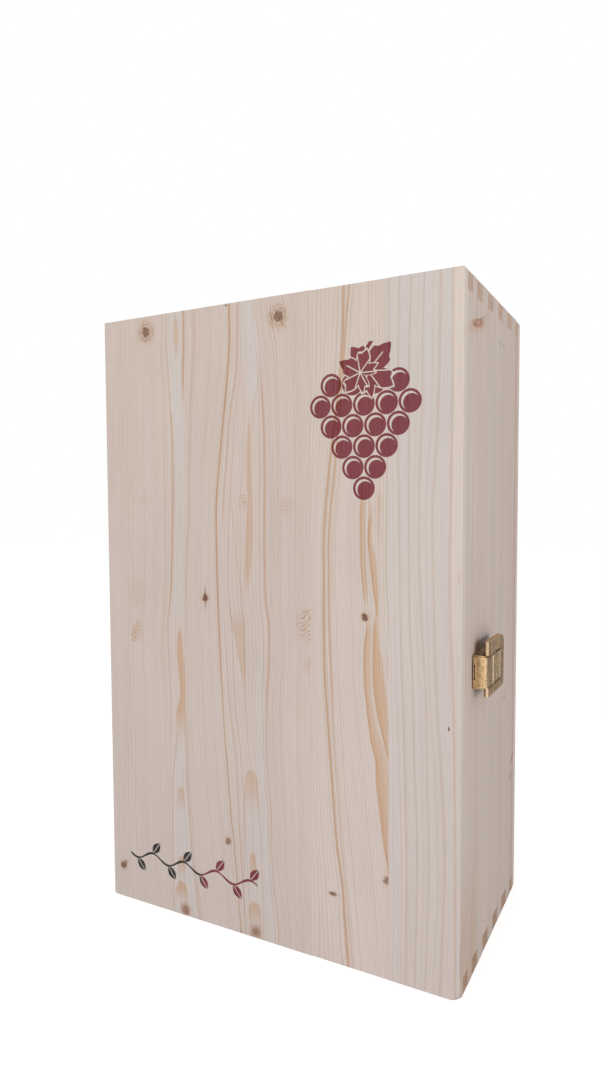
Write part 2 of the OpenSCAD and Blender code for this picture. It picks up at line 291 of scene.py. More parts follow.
@grouped
def band_mark(so_far, across, along, left, right, strength, far, edge, start, whole, leave, gone):
    mark = ramp(across - left, -edge, edge)
    mark = ramp(right - across, -edge, edge) * mark
    mark = math_node("MULTIPLY_ADD", straight(across, left, right), far - 1, 1) * mark
    mark = mark * strength
    return window(along, start, whole, leave, gone) * mark + so_far


@grouped
def spot_mark(so_far, across, along, at_across, at_along, wide, high, strength, soft, lean):
    rise = along - at_along
    side = across - at_across - rise * lean
    away = length(rise / high, side / wide)
    return ramp(away, 1, soft, 0, strength) + so_far


@grouped
def knot_mark(dark, amber, across, along, at_across, at_along, core, rings, halo, strength, pitch):
    rise = along - at_along
    side = across - at_across
    rough = noise(across / 2.2, along / 2.2, at_across, 3, 0.6)
    away = math_node("MULTIPLY_ADD", rough, core * 0.6 + 0.3, length(rise, side * 1.12))
    crack = noise(across / 0.8, along / 0.8, at_along, 2) * 1.5 + 0.95
    heart = ramp(away, core * 1.1, core * 0.8, 0, strength) * clamped(crack)
    wave = math_node("COSINE", (away - core) * math.tau / pitch)
    wave = ramp(wave, 0.2, 0.95, 0, strength)
    wave = ramp(away, rings + 0.1, rings * 0.7) * wave * (1 - heart)
    wave = ramp(noise(across / 4, along / 4, at_along + 5), -0.35, 0.25, 0.25, 1) * wave
    return heart + wave * 0.7 + dark, ramp(away, halo, core, 0, 0.5) + wave * 0.6 + amber


@grouped
def burl_mark(so_far, across, along, at_across, at_along, wide, high, strength, pitch, slope, lean):
    rise = along - at_along
    side = across - at_across - rise * lean
    away = length(rise / high, side / wide)
    lines = (rise + abs(side) * slope) / pitch
    lines = noise(across / 3, along / 3, at_along, 1) * 1.1 + lines
    wave = math_node("SINE", lines * math.tau)
    return ramp(away, 1, 0.45, 0, strength) * ramp(wave, -0.3, 0.8) + so_far


@grouped
def part_grain(across, along, at_across, at_along, size):
    rise = (along - at_along) / (size * 1.7)
    side = across - at_across
    spread = side / size
    near = math_node("EXPONENT", -math_node("MULTIPLY_ADD", rise, rise, spread * spread))
    return across - side * near * 0.62


class Marks:
    """What is gathered for one board: how far each point is amber, dark, red, pale and so on.

    across follows the bent grain and square doesn't. A curve that goes to line or band may be
    listed points (along, across).
    """

    def __init__(self, along, across, square, depth):
        self.along = along
        self.across = across
        self.square = square
        self.depth = depth
        self.amber = self.dark = self.red = self.pale = self.warm = self.honey = 0.0
        self.grain = 1.0

    def curve(self, given):
        return path(self.along, given) if isinstance(given, tuple) else given

    def add(self, kind, amount):
        setattr(self, kind, amount + getattr(self, kind))

    def part(self, *knots):
        """Bends the grain round knots given as (along, across, size)."""
        for along, across, size in knots:
            self.across = part_grain(self.across, self.along, across, along, size)

    def line(self, centre, strength, half_width, fade=ALWAYS):
        """Strong growth ring: sharp on one side and a little softer on the other."""
        centre = self.curve(centre)
        self.amber = line_mark(self.amber, self.across, self.along, centre, strength, half_width,
                               *fade)

    def band(self, left, right, strength, fade, kind, edge=0.45, far=1.0):
        """Area between two curves. At its right edge the strength is far times as much."""
        left = self.curve(left)
        right = self.curve(right)
        made = band_mark(getattr(self, kind), self.across, self.along, left, right, strength,
                         far, edge, *fade)
        setattr(self, kind, made)

    def spot(self, along, across, high, wide, strength, kind, soft=0.0, lean=0.0):
        """Ellipse with a soft edge."""
        made = spot_mark(getattr(self, kind), self.square, self.along, across, along, wide, high,
                         strength, soft, lean)
        setattr(self, kind, made)

    def knot(self, along, across, core, rings, halo, strength=1.0, pitch=1.05):
        """Knot with a core, growth rings round it and a brown halo."""
        self.dark, self.amber = knot_mark(self.dark, self.amber, self.square, self.along, across,
                                          along, core, rings, halo, strength, pitch)

    def burl(self, along, across, high, wide, strength, pitch=1.7, slope=0.6, lean=0.0):
        """Patch of crowded chevrons."""
        self.amber = burl_mark(self.amber, self.square, self.along, across, along, wide, high,
                               strength, pitch, slope, lean)


@grouped
def growth_rings(rings, across, along, seed, depth):
    """Growth rings, each of its own strength. Gives the tone and where the late wood is."""
    rings = noise(across / 7, along / 70, seed) * 0.5 + rings
    rings = noise(across / 1.6, along / 16, seed + depth) * 0.13 + rings
    own = chance(rings, seed)
    part = math_node("FRACT", rings)
    late = ramp(part, 0.25, 0.84) * ramp(part, 1, 0.9)
    strength = math_node("MULTIPLY_ADD", own * own, 0.5, 0.24)
    drift = noise(rings / 5, along / 130, seed + 3)
    return late * strength + drift * 0.2, late


# How far outside the board's face, and from the middle of its width, the rings' centre lies
PITH_OUT = 26.0
PITH_ASIDE = 31.0


def cut_ends(ground, across, depth, seed):
    """End grain: arcs of growth rings, with fine checks across them."""
    centre = Y_FACE + PITH_ASIDE * math.sin(seed)
    away = length(across - centre, depth + PITH_OUT)
    away = noise(across / 5, depth / 5, seed) + away
    rings = away / 1.7
    part = math_node("FRACT", rings)
    late = ramp(part, 0.3, 0.9) * ramp(part, 1, 0.92)
    pores = noise(across / 0.5, depth / 0.5, seed, 1)
    stain = noise(across / 6, depth / 3.5, seed + 2, 3, 0.6)
    shade = math_node("MULTIPLY_ADD", late, 0.45, 0.15) + pores * 0.35 + stain * 0.9
    colour = tint(ground, 1, END_GRAIN)
    return tint(colour, clamped(shade), SAWN_RING)


def wood_material(name, axes, seed, draw, grounds, slope, ink=False):
    """Planed spruce. axes says how X, Y and Z turn into across, along and depth.

    grounds holds the colours of the upper or left end, the other end and, if it differs from
    that one, the end grain. slope is how far the rings move across for each step in depth.
    """
    material, point, normal = begin_material(name)
    across, along, depth = [math_node("MULTIPLY_ADD", point[axis], MM * sign, shift)
                            for axis, sign, shift in axes]
    grain_axis = axes[1][0]
    cut = ramp(abs(normal[grain_axis]), 0.55, 0.85)
    # The rings run on into the board, so its edges show them too
    inside = across + depth * slope
    bent = noise(inside / 9.0, along / 45.0, seed + 7.0) * 0.5 + inside
    marks = Marks(along, bent, across, depth)
    rings = draw(marks)
    grain, late = growth_rings(rings, marks.across, along, seed, depth)
    amber = math_node("MINIMUM", marks.amber, 1.25)
    cloud = noise(inside / 40.0, along / 90.0, seed + 1.0, 3.0)
    ground = blend(straight(along, 0.0, BOX_H), linear(*grounds[0]), linear(*grounds[1]))
    colour = tint(tint(ground, grain * marks.grain, RING), amber, AMBER)
    fibre = noise(inside / 0.28, along / 9.0, depth / 0.3, 2.0)
    speckle = noise(inside / 1.1, along / 26.0, depth / 2.0, 2.0)
    tone = math_node("MULTIPLY_ADD", fibre, 0.06, 1.0) + cloud * 0.05 + speckle * 0.05
    scale = node("ShaderNodeVectorMath", colour, operation="SCALE")
    feed(scale.inputs["Scale"], tone)
    colour = scale.outputs[0]
    for kind, ratio in (
            ("honey", HONEY), ("pale", PALE), ("warm", WARM), ("red", REDDISH), ("dark", KNOT)):
        amount = getattr(marks, kind)
        # A kind with no mark on this board is still a plain zero
        if isinstance(amount, Num):
            colour = tint(colour, clamped(amount), ratio)
    if ink:
        wine, black = print_masks(point[0] * MM + X_WALL, BOX_H - point[2] * MM)
        front = ramp(normal[1], -0.6, -0.8)
        worn = math_node("MULTIPLY_ADD", fibre, 0.10, 0.95)
        colour = tint(colour, clamped(wine * front * worn), WINE_INK)
        colour = tint(colour, clamped(black * front * worn), BLACK_INK)
    sawn = cut_ends(linear(*grounds[-1]), across, depth, seed)
    colour = blend(cut, colour, sawn)
    roughness = math_node("MULTIPLY_ADD", late, -0.08, 0.68)
    shader = node_with("ShaderNodeBsdfPrincipled", {
        "Base Color": colour, "Roughness": roughness, "Specular IOR Level": 0.14})
    end_material(shader, fibre * 0.5 + late * 0.35, 0.35, 0.00005)
    return material


def ring_count(across, guides):
    """Counts the rings between given guides, so that the fine grain follows them."""
    total = 0.0
    for left, right, count in guides:
        total = straight(across, left, right, count) + total
    return total


# Generic print on the lid: a bunch of grapes, and a sprig of vine below

INK_EDGE = 0.12
PRINT_A = 168.0
PRINT_D = 49.0
BERRY_PITCH = 12.0
BERRY_R = 5.85
ROW_H = 10.4
ROWS = 6


@grouped
def berries(a, d, first_row, shift):
    """Every second row of the bunch, beginning with the one given."""
    column = math_node("ROUND", (a - shift) / BERRY_PITCH)
    number = math_node("ROUND", (d / ROW_H - first_row) / 2) * 2 + first_row
    centre = column * BERRY_PITCH + shift
    off_a = a - centre
    off_d = d - number * ROW_H
    widest = BERRY_PITCH / 2 * (ROWS - number) + 1
    first = number * BERRY_PITCH / 2 + BERRY_PITCH * 1.6
    room = math_node("MINIMUM", first, widest)
    there = math_node("LESS_THAN", abs(centre), room) * math_node("GREATER_THAN", number, -0.5)
    disc = ramp(length(off_a, off_d), BERRY_R + INK_EDGE, BERRY_R - INK_EDGE)
    inner = ramp(length(off_a, off_d), BERRY_R - 1.25, BERRY_R - 1.45)
    shade = ramp(length(off_a - 0.8, off_d - 0.85), BERRY_R - 1.65, BERRY_R - 1.45)
    return disc * (1 - inner * shade) * there


# Outline of half a leaf: turn from the stalk, of which TURN is a whole one, and distance
TURN = 73
LOBES = ((0, .10), (2.5, .42), (5, .70), (8, .60), (10.5, .86), (14, .50), (17, .74),
         (20.5, 1), (23, .80), (25.5, .82), (28, .52), (31, .80), (33, .82))


@grouped
def vine_leaf(a, d, size, cos, sin):
    """Lobed leaf with bare veins, and the clear space round it. Its stalk is at the origin."""
    ahead = a * sin - d * cos
    aside = a * cos + d * sin
    angle = math_node("ARCTAN2", aside, ahead)
    mirrored = tuple((TURN - at, far) for at, far in reversed(LOBES))
    whole = LOBES + ((TURN / 2, 1.14),) + mirrored
    outline = path((angle / math.tau + 0.5) * TURN, whole, TURN, 1.2, "VECTOR")
    away = length(ahead, aside) / size
    leaf = ramp(away - outline, 0.012, -0.012)
    step = math.tau / 7.2
    nearest = math_node("ROUND", angle / step) * step
    beside = abs(math_node("SINE", angle - nearest)) * away * size
    vein = ramp(beside, 0.40, 0.20) * ramp(away, 0.78, 0.70)
    return leaf * (1 - vein), ramp((away - outline) * size, 1.1, 0.9)


# One wave of the sprig's stem and the whole stem, in millimetres
WAVE = 23
SPRIG = 4 * WAVE


@grouped
def vine_sprig(x, y):
    """Waving stem with a leaf at each turn."""
    wave = math_node("SINE", x * (math.tau / WAVE))
    swell = math_node("MULTIPLY_ADD", math_node("SINE", x * (math.tau / WAVE * 2)), 0.14, 0.66)
    total = ramp(abs(y - wave * 2.4) - swell, 0.15, -0.15) * window(x, 0, 1, SPRIG - 2, SPRIG)
    for start, side in ((WAVE / 4, 1), (WAVE * 3 / 4, -1)):
        turn = math_node("ROUND", (x - start - 3) / WAVE)
        ahead = x - (turn * WAVE + start)
        up = y * side - 2.4
        # How far a place is along the leaf, and off its middle
        run = ahead * 0.62 + up * 0.785
        off = up * 0.62 - ahead * 0.785
        width = math_node("SINE", clamped(run / 9.5) * math.pi) * 2.6
        leaf = ramp(abs(off) - width, INK_EDGE, -INK_EDGE) * window(run, 0, 0.4, 9.3, 9.6)
        leaf = leaf * ramp(abs(off), 0.12, 0.3) * window(x, 4, 4.2, SPRIG, SPRIG + 0.4)
        total = math_node("MAXIMUM", total, leaf)
    return total


@grouped
def print_masks(a, d):
    """Where the wine red and the black ink lie on the front of the lid."""
    side = a - PRINT_A
    down = d - PRINT_D
    wine = math_node("MAXIMUM", berries(side, down, 0, BERRY_PITCH / 2),
                     berries(side, down, 1, 0))
    stem_a = path(down + 20, ((0, 14), (6, 10.5), (16, 10)), 16, 20) - 10
    stem = ramp(abs(side - stem_a), 1.35, 1.1) * window(down, -20, -19.7, -4, -3.7)
    wine = math_node("MAXIMUM", wine, stem)
    for at_a, at_d, size, turn in ((2.2, -5.6, 15.5, 0.75), (-2, -5, 11.5, -1.05)):
        leaf, clear = vine_leaf(side - at_a, down - at_d, size, math.cos(turn), math.sin(turn))
        wine = math_node("MAXIMUM", wine * (1 - clear), leaf)
    sprig = vine_sprig(a - 13, d - 320.5)
    red_part = ramp(a, 65.8, 66.2)
    return math_node("MAXIMUM", wine, sprig * red_part), sprig * (1 - red_part)


# Boards

# Reach of a curve that strays by a few millimetres only
BEND_REACH = 20


def draw_left(marks):
    """Left stave of the lid, with two long flames."""
    marks.part((8.5, 31.3, 7), (10.8, 119.3, 7.5), (161, 71, 3), (298.6, 85, 3),
               (330, 7.7, 5), (107, 97.2, 3.5))
    d = marks.along
    far_left = path(d, (
        (0, 43), (23, 42), (45, 43.7), (131, 43.7), (165, 42), (184, 40.4), (216, 41), (257, 42.5),
        (291, 41.3), (350, 41.2)))
    flame_left = path(d, (
        (0, 45.8), (23, 46.4), (48, 48.3), (57, 48.9), (73, 49.8), (102, 49.7), (118, 48.9),
        (136, 48.3), (161, 46.8), (177, 44.9), (204, 45.5), (232, 46), (257, 45.9), (273, 45),
        (291, 44.2), (350, 43.9)))
    flame_right = path(d, (
        (0, 65), (17, 65.3), (30, 64.2), (45, 63), (68, 61.9), (91, 60.8), (118, 60), (136, 58.5),
        (159, 57.4), (200, 57), (227, 56.2), (250, 56.5), (270, 57), (291, 58.7), (316, 60.4),
        (335, 63.1), (350, 65)))
    strong = path(d, (
        (0, 89.2), (15, 89.2), (45, 86.9), (80, 82.4), (118, 79.2), (150, 79.3), (186, 80.7),
        (227, 82.8), (270, 86.1), (324, 91.2), (350, 93.3)))
    second = path(d, (
        (0, 94.3), (34, 93.4), (59, 89.2), (80, 86.9), (118, 83.5), (150, 82.7), (168, 83.9),
        (193, 85.2), (232, 88.2), (250, 90.9), (270, 92), (295, 93), (348, 96.6)))
    third = path(d, (
        (0, 104), (40, 108.5), (100, 110.2), (136, 110), (159, 110.5), (177, 112.5), (193, 112.3),
        (216, 110.8), (232, 110.8), (256, 111.6), (278, 113.6), (307, 114.2), (341, 118)))
    rings = ring_count(marks.across, (
        (-8, far_left, 34), (far_left, flame_left, 2), (flame_left, flame_right, 5),
        (flame_right, strong, 16), (strong, second, 2), (second, third, 11),
        (third, 143, 22)))
    marks.line(strong, 1, 1.05, until(180, 225))
    marks.line(strong, 0.75, 0.7, since(180, 225))
    marks.line(second, 0.62, 0.95, until(105, 132))
    marks.line(second, 0.6, 0.7, since(165, 200))
    marks.line(far_left, 0.5, 0.45, until(190, 260))
    marks.line(flame_left, 0.22, 0.6, (0, 40, 220, 250))
    marks.band(flame_left - 0.8, flame_left + 0.4, 0.6, (54, 58, 150, 180), "honey", 0.35)
    marks.line(flame_right + 0.3, 0.5, 0.5, (0, 5, 150, 200))
    marks.line(third + 0.3, 0.85, 0.85, (25, 55, 205, 235))
    marks.line(third - 0.3, 0.55, 0.6, since(205, 235))
    marks.line(((0, 58.2), (17, 58.2), (34, 57.7), (60, 57.6)), 1, 1.1, until(34, 60))
    marks.line(flame_right - 0.1, 0.62, 0.55, since(215, 245))
    left_leg = path(d, (
        (238, 52.3), (242, 50.4), (257, 48), (266, 46.8), (275, 46), (291, 45.8), (350, 45.4)))
    marks.line(left_leg, 0.62, 0.6, since(238, 244))
    marks.band(
        ((177, 52.8), (186, 51.1), (195, 50.8), (204, 51.7), (213, 52.5), (220, 52.3), (228, 50),
         (236, 49.4), (241, 49)),
        ((177, 52.8), (184, 54.5), (193, 55.3), (204, 56.3), (213, 56.5), (223, 56), (232, 55.7),
         (241, 55.5)),
        0.95, (176, 184, 226, 246), "honey", 0.6, 0.75)
    # Brown arches where pale flames begin
    for left, right, strength, fade in (
            (((272, 52.3), (274, 50.6), (282, 49.2), (291, 48.3)),
             ((272, 52.3), (274, 54), (282, 55.3), (291, 56.3)), 0.6, (271.5, 274, 276, 291)),
            (((314, 52), (316, 50.3), (322, 49.2), (330, 48)),
             ((314, 52), (316, 53.7), (322, 54.8), (330, 56)), 0.85, (313.5, 316, 317, 330)),
            (((329, 51.7), (331, 49.4), (338, 47), (345, 46)),
             ((329, 51.7), (331, 54.2), (336, 56), (345, 57)), 0.85, (328.5, 331, 333, 345))):
        marks.band(left, right, strength, fade, "honey", 0.4)
    marks.spot(13, 53, 17, 3.4, 0.65, "honey", 0.1)
    marks.band(48.5, 57.2, 0.8, until(70, 100), "pale", 1)
    marks.band(flame_left + 1, flame_right - 2.5, 0.35, (60, 90, 165, 190), "pale", 1.2)
    marks.band(left_leg + 1, flame_right - 1, 0.6, since(244, 258), "pale", 1.2)
    marks.band(
        ((0, 96.6), (40, 98.5), (59, 101), (62, 102)),
        ((0, 104), (9, 105), (15, 107.4), (23, 108), (45, 106.8), (57, 103)),
        0.9, until(45, 61), "pale", 0.8)
    marks.line(((0, 104), (9, 105), (15, 107.4), (23, 108), (45, 106.8), (57, 104), (75, 102.8)),
               0.4, 0.4, until(55, 80))
    marks.band(
        ((57, 101.2), (80, 99.5), (114, 98.9), (145, 97.3), (163.6, 97)),
        ((57, 101.8), (80, 102.2), (114, 102.8), (145, 101.5), (163.6, 97.4)),
        0.65, (56, 70, 140, 166), "honey", 0.8)
    marks.line(((80, 88), (114, 89.8), (151, 94.3), (163.6, 97)), 0.45, 0.45,
               (84, 112, 160, 165))
    second_left = path(d, ((160, 86.6), (166, 87.5), (182, 90.9), (198, 94.3), (211, 96.8)))
    marks.line(second_left, 0.45, 0.45, (160, 168, 208, 213))
    marks.line(((166, 97.2), (211, 97)), 0.35, 0.4, (166, 172, 208, 213))
    marks.band(second_left, ((160, 97.6), (211, 97.2)), 0.45, (164, 180, 198, 213), "honey")
    flame_two_left = path(d, (
        (254, 100.4), (256.5, 98), (263, 96.8), (275, 96), (301, 95.6), (350, 95.4)))
    flame_two_right = path(d, (
        (254, 100.4), (256.5, 103), (263, 104.4), (275, 105.4), (301, 106.9), (350, 108)))
    marks.band(flame_two_left, flame_two_right, 0.55, (253.5, 256, 257, 283), "honey", 0.4)
    marks.line(flame_two_left, 0.45, 0.5, since(254, 262))
    marks.line(flame_two_right, 0.45, 0.5, since(254, 262))
    marks.band(flame_two_left, flame_two_right, 0.55, since(264, 284), "pale", 0.8)
    for left, right, fade in (
            (((300, 101), (303, 99.6), (312, 98.8), (330, 98)),
             ((300, 101), (303, 102.5), (312, 103.8), (330, 106.2)), (300, 303, 304, 322)),
            (((328.5, 102), (330.5, 99.8), (337, 98), (350, 97)),
             ((328.5, 102.6), (330.5, 104.8), (337, 106.6), (350, 108)), (328, 331, 332, 346))):
        marks.band(left, right, 0.8, fade, "honey", 0.4)
    marks.band(third - 7, third - 2.5, 0.6, since(170, 215), "pale", 1.5)
    for kind in ("warm", "pale"):
        marks.band(118, 143, 0.3, (180, 230, 300, 340), kind, 4)
    marks.knot(8.5, 31.3, 2.9, 7.2, 10, 0.92, 1.35)
    marks.knot(10.8, 119.3, 3, 6.8, 10, 0.9, 1.4)
    marks.knot(161, 71, 2.2, 0, 4.6, 1)
    marks.band(70.7, 71.3, 0.55, (151, 157, 164, 172), "dark", 0.3)
    marks.knot(298.6, 85, 2, 0, 4, 0.8)
    marks.knot(330.6, 7.3, 2.1, 0, 5, 0.9)
    marks.spot(330, 7.9, 3.2, 3.4, 0.6, "red")
    marks.knot(328.3, 9.2, 1.1, 0, 3, 0.7)
    marks.knot(346.6, 54.5, 2.4, 5.6, 7, 0.42, 1.5)
    marks.knot(346.6, 102.8, 2.2, 6.4, 7.5, 0.36, 1.5)
    marks.spot(346.6, 54.5, 4.6, 4.2, 0.7, "red", 0.4)
    marks.spot(346.6, 102.8, 4.8, 4.6, 0.65, "red", 0.4)
    marks.spot(0.9, 86.9, 1, 1.4, 0.9, "dark")
    marks.spot(348.8, 93.2, 1, 0.8, 0.7, "dark")
    marks.spot(15.6, 123, 4.5, 1.5, 0.6, "honey", 0.1, 0.7)
    marks.burl(184, 20, 8.5, 3.6, 1.7, 1.8, 0.35, -0.3)
    marks.burl(184, 21.5, 10, 6, 0.4)
    marks.burl(160, 22, 14, 8, 0.4, 2, 0.8)
    marks.burl(105, 27.8, 6, 4.5, 0.4, 2.2, 0.2)
    marks.burl(107, 97.2, 6, 3.6, 0.7, 1.9, 0.1)
    marks.burl(109.7, 123.9, 7, 5.5, 0.5)
    marks.burl(172, 137.5, 12, 10.5, 0.9, 2.2, -0.5)
    marks.burl(193, 138, 7, 5.5, 0.6, 1.7, 0.8)
    return rings


def draw_middle(marks):
    """Middle stave of the lid: two twin lines and the broad brown bands."""
    marks.part((165.5, 168.6, 2.6), (312.7, 150.6, 3), (298.6, 181, 3))
    d = marks.along
    twin = path(d, (
        (0, 157.3), (29, 156.4), (98, 148.2), (114, 146.6), (136, 145.5), (170, 145.5),
        (200, 146.1), (227, 148.2), (254, 150.2), (284, 152.7), (307, 155.9), (318, 156.8),
        (350, 159.3)))
    twin_two = path(d, (
        (0, 160.2), (98, 151.3), (114, 149.4), (136, 148.4), (170, 148.6), (200, 149.8),
        (227, 151), (254, 153), (284, 155.5), (318, 159), (350, 162)))
    up_left = path(d, (
        (0, 168.4), (60, 167.8), (105, 166.6), (114, 165.9), (136, 165.9), (150, 167),
        (158, 167.7), (163, 168.4)))
    up_right = path(d, (
        (105, 169.2), (114, 168.8), (136, 169.1), (150, 169.8), (158, 170), (163, 169.5)))
    second_left = path(d, (
        (114, 171), (125, 170.1), (136, 171), (151, 172.7), (162.5, 174.4), (168, 174.1)))
    second_right = path(d, (
        (114, 172.7), (125, 172.4), (136, 174.4), (148, 175.6), (162.5, 176.1), (168, 175.9)))
    low_left = path(d, (
        (166, 169), (169, 169.3), (177, 168.2), (186, 167.8), (200, 168.2), (211, 169.3),
        (223, 171), (232, 172.5), (236, 173.9), (250, 175), (265, 177), (279.5, 178.6),
        (291, 180.5), (315, 181.6)))
    low_right = path(d, (
        (169, 172.2), (186, 172.2), (200, 172.2), (211, 173.3), (223, 176.1), (232, 180.1),
        (240, 183), (260, 184)))
    low_two_left = path(d, (
        (165, 173.6), (169, 173.3), (186, 173.1), (200, 173.3), (213, 175), (224, 177.8),
        (234, 180.7), (240, 183)))
    low_two_right = path(d, (
        (165, 176), (169, 176.1), (177, 176.4), (186, 177.8), (198, 179.3), (211, 180.7),
        (236, 181.4)))
    follow = path(d, (
        (0, 169.5), (60, 169.2), (105, 167.5), (136, 167), (170, 169.5), (200, 170), (236, 175.5),
        (265, 178.5), (300, 182.5), (350, 185)))
    rings = ring_count(marks.across, (
        (133, twin, 10), (twin, twin_two, 2), (twin_two, follow, 14), (follow, 192, 13)))
    marks.line(twin, 1.15, 0.95)
    marks.line(twin_two, 0.95, 0.75, until(190, 240))
    marks.line(twin_two, 0.6, 0.6, since(190, 240))
    marks.line(twin_two + 2.4, 0.35, 0.5, until(150, 190))
    marks.band(up_left, up_right, 0.95, (92, 112, 150, 165), "honey", 0.35, 0.55)
    marks.line(up_left + 0.3, 0.35, 0.5, (92, 112, 150, 165))
    marks.line(up_right - 0.3, 0.3, 0.4, (92, 112, 150, 165))
    marks.band(second_left, second_right, 1, (104, 118, 162, 169), "honey", 0.4, 0.6)
    marks.line(second_left + 0.5, 0.4, 0.6, (104, 118, 162, 169))
    marks.band(low_left, low_right, 1, since(166.5, 172), "honey", 0.35, 0.35)
    marks.line(low_left + 0.4, 0.4, 0.6, since(166.5, 172))
    marks.band(low_two_left, low_two_right, 1.1, (163, 172, 236, 243), "honey", 0.35, 0.6)
    marks.line(low_two_left + 0.4, 0.4, 0.6, (163, 172, 236, 243))
    marks.band(((100, 175), (130, 175.4)), ((100, 177.6), (130, 176.6)), 0.6,
               (98, 106, 118, 134), "honey", 0.4, 0.4)
    marks.line(((184, 180.7), (197, 180.8)), 0.4, 0.4, (182, 186, 194, 200))
    marks.line(((20, 176), (50, 175.8)), 0.35, 0.4, (16, 24, 44, 54))
    marks.line(((0, 170.5), (60, 170.2)), 0.22, 0.4, until(30, 60))
    marks.knot(165.5, 168.6, 2, 0, 4.2, 1)
    marks.knot(298.6, 180.4, 1.9, 0, 3.6, 0.75)
    marks.spot(312.7, 150.4, 1.6, 3.2, 0.9, "dark", 0.3)
    marks.spot(312.7, 150.6, 2.8, 5.4, 0.5, "amber")
    return rings


def draw_right(marks):
    """Right stave of the lid: greyish, with slow soft lines."""
    marks.part((216.4, 212, 1.2))
    d = marks.along
    lines = [path(d, points) for points in (
        ((0, 186.6), (60, 185.8), (120, 186.8), (165, 187.5), (200, 188.6), (240, 190.2),
         (300, 191.2), (350, 190.8)),
        ((0, 192.5), (60, 191.5), (120, 191.8), (165, 192.3), (200, 194), (240, 195), (285, 196.5),
         (350, 195.4)),
        ((0, 199), (60, 198), (120, 196.8), (165, 198.2), (205, 200.6), (240, 201.4), (290, 202.5),
         (350, 200.8)),
        ((0, 207), (60, 206), (120, 203.5), (165, 204.5), (205, 206), (240, 208.6), (290, 210.2),
         (350, 208.2)),
        ((0, 213), (90, 212.5), (150, 212), (200, 214), (240, 215), (350, 216)))]
    ends = [178, *lines, 222]
    rings = ring_count(marks.across, [(left, right, 6) for left, right in zip(ends, ends[1:])])
    marks.grain = 0.6
    for line, strength in zip(lines, (0.34, 0.36, 0.3, 0.4, 0.4)):
        marks.line(line, strength, 0.9)
    marks.line(lines[0] - 3, 0.22, 0.6, since(60, 120))
    marks.line(lines[2] - 2.6, 0.2, 0.6)
    marks.line(lines[3] - 3.4, 0.24, 0.6)
    # Painted highlight: a brighter strip along the lid's eased right edge
    marks.band(212.8, 222, 1, until(20, 330), "warm", 0.6)
    marks.spot(216.4, 212, 1.35, 0.55, 1.8, "dark", 0.45, 0.1)
    marks.spot(144, 216.4, 6, 1.6, 0.3, "red")
    # On its edge, which the side shows, it is browner below and has a thin curved crack
    edge = ramp(marks.square, 217.2, 217.9)
    for kind, most in (("honey", 0.45), ("red", 0.12)):
        marks.add(kind, ramp(marks.depth, 0.8, 2) * edge * ramp(d, 240, 320, 0, most))
    crack = path(d, ((312, 6), (318, 5.6), (324, 3.4), (330, 1.4), (336, 2), (343, 4.4)),
                 reach=BEND_REACH)
    crack = ramp(abs(marks.depth - crack), 0.8, 0.2) * edge * window(d, 313, 319, 338, 344)
    marks.add("dark", crack * 0.45)
    return rings


def draw_wall(marks):
    """Right hand wall and the lid's rim that was sawn off it."""
    marks.part((20, 25, 8), (222, 91, 3))
    d = marks.along
    bend = path(d, ((0, 2), (60, 3), (160, 3.5), (250, 2.6), (310, 0.6), (350, -3)),
                reach=BEND_REACH)
    marks.across = marks.across - bend * ramp(marks.across, 70, 20)
    rings = ring_count(marks.across, ((-8, 45, 22), (45, 132, 26)))
    for place, strength, wide in (
            (4, 0.3, 0.7), (9, 0.35, 0.8), (14.2, 0.4, 0.9), (18.6, 0.3, 0.6), (22, 0.65, 0.8),
            (25.4, 0.55, 0.8), (30, 0.35, 1), (35, 0.3, 0.9), (43, 0.2, 0.9)):
        marks.line(place, strength, wide)
    marks.band(112, 134, 0.4, ALWAYS, "red", 6)
    marks.band(-6, 30, 0.32, since(275, 335), "honey", 9)
    marks.band(-6, 34, 0.10, since(265, 330), "red", 9)
    # Painted shade: the wall grows redder and darker towards the back, standing in for light that
    # falls off
    marks.add("red", straight(marks.square, 20, 124, 0.1))
    marks.add("dark", straight(marks.square, 10, 60, 0.08))
    marks.spot(20.6, 25, 3.9, 9.2, 0.85, "red", 0.6, -2.44)
    marks.spot(22.6, 19.5, 2, 3, 0.32, "dark", 0.2, -2.44)
    marks.spot(17, 32, 2.6, 3.2, 0.38, "dark", 0.2, -2.44)
    marks.spot(20, 25.5, 1.8, 2.2, -0.4, "red", 0.2, -2.44)
    marks.spot(22, 24, 6.8, 14, 0.45, "honey", 0.5, -2.2)
    marks.spot(14, 41, 5, 6, 0.4, "honey", 0.2, -1.7)
    marks.spot(21.6, 73, 2, 1.7, 0.75, "dark")
    marks.spot(21.1, 81.5, 2.1, 1.8, 0.7, "dark")
    # Painted shadow: warm brown patches where the latch's shadow falls on the wall above it, warmed
    # as a painted reflection of the brass
    marks.spot(182, 31, 8, 9, 0.9, "honey")
    marks.spot(182, 29, 8, 7, 0.55, "red")
    # Painted shadow on the wall below the latch
    marks.spot(203, 21.5, 4, 4, 0.7, "honey")
    marks.spot(222, 91, 2.4, 3.2, 0.7, "red", 0.2)
    marks.spot(265, 113.4, 4.6, 3, 0.9, "red", 0.2, -1.4)
    marks.spot(265, 113.8, 2.6, 1.4, 0.45, "dark", 0.2, -1.4)
    marks.spot(275, 110, 3, 8, 0.55, "red", 0.1, -0.6)
    marks.spot(320, 3.5, 4, 2.4, 0.6, "red", 0.1)
    # These stains, and the painted shade towards the back and round the latch, are on the surface
    # only, so the sawn faces stay clean
    marks.red = marks.red * ramp(marks.depth, 2.5, 0.3)
    marks.dark = marks.dark * ramp(marks.depth, 2.5, 0.3)
    return rings


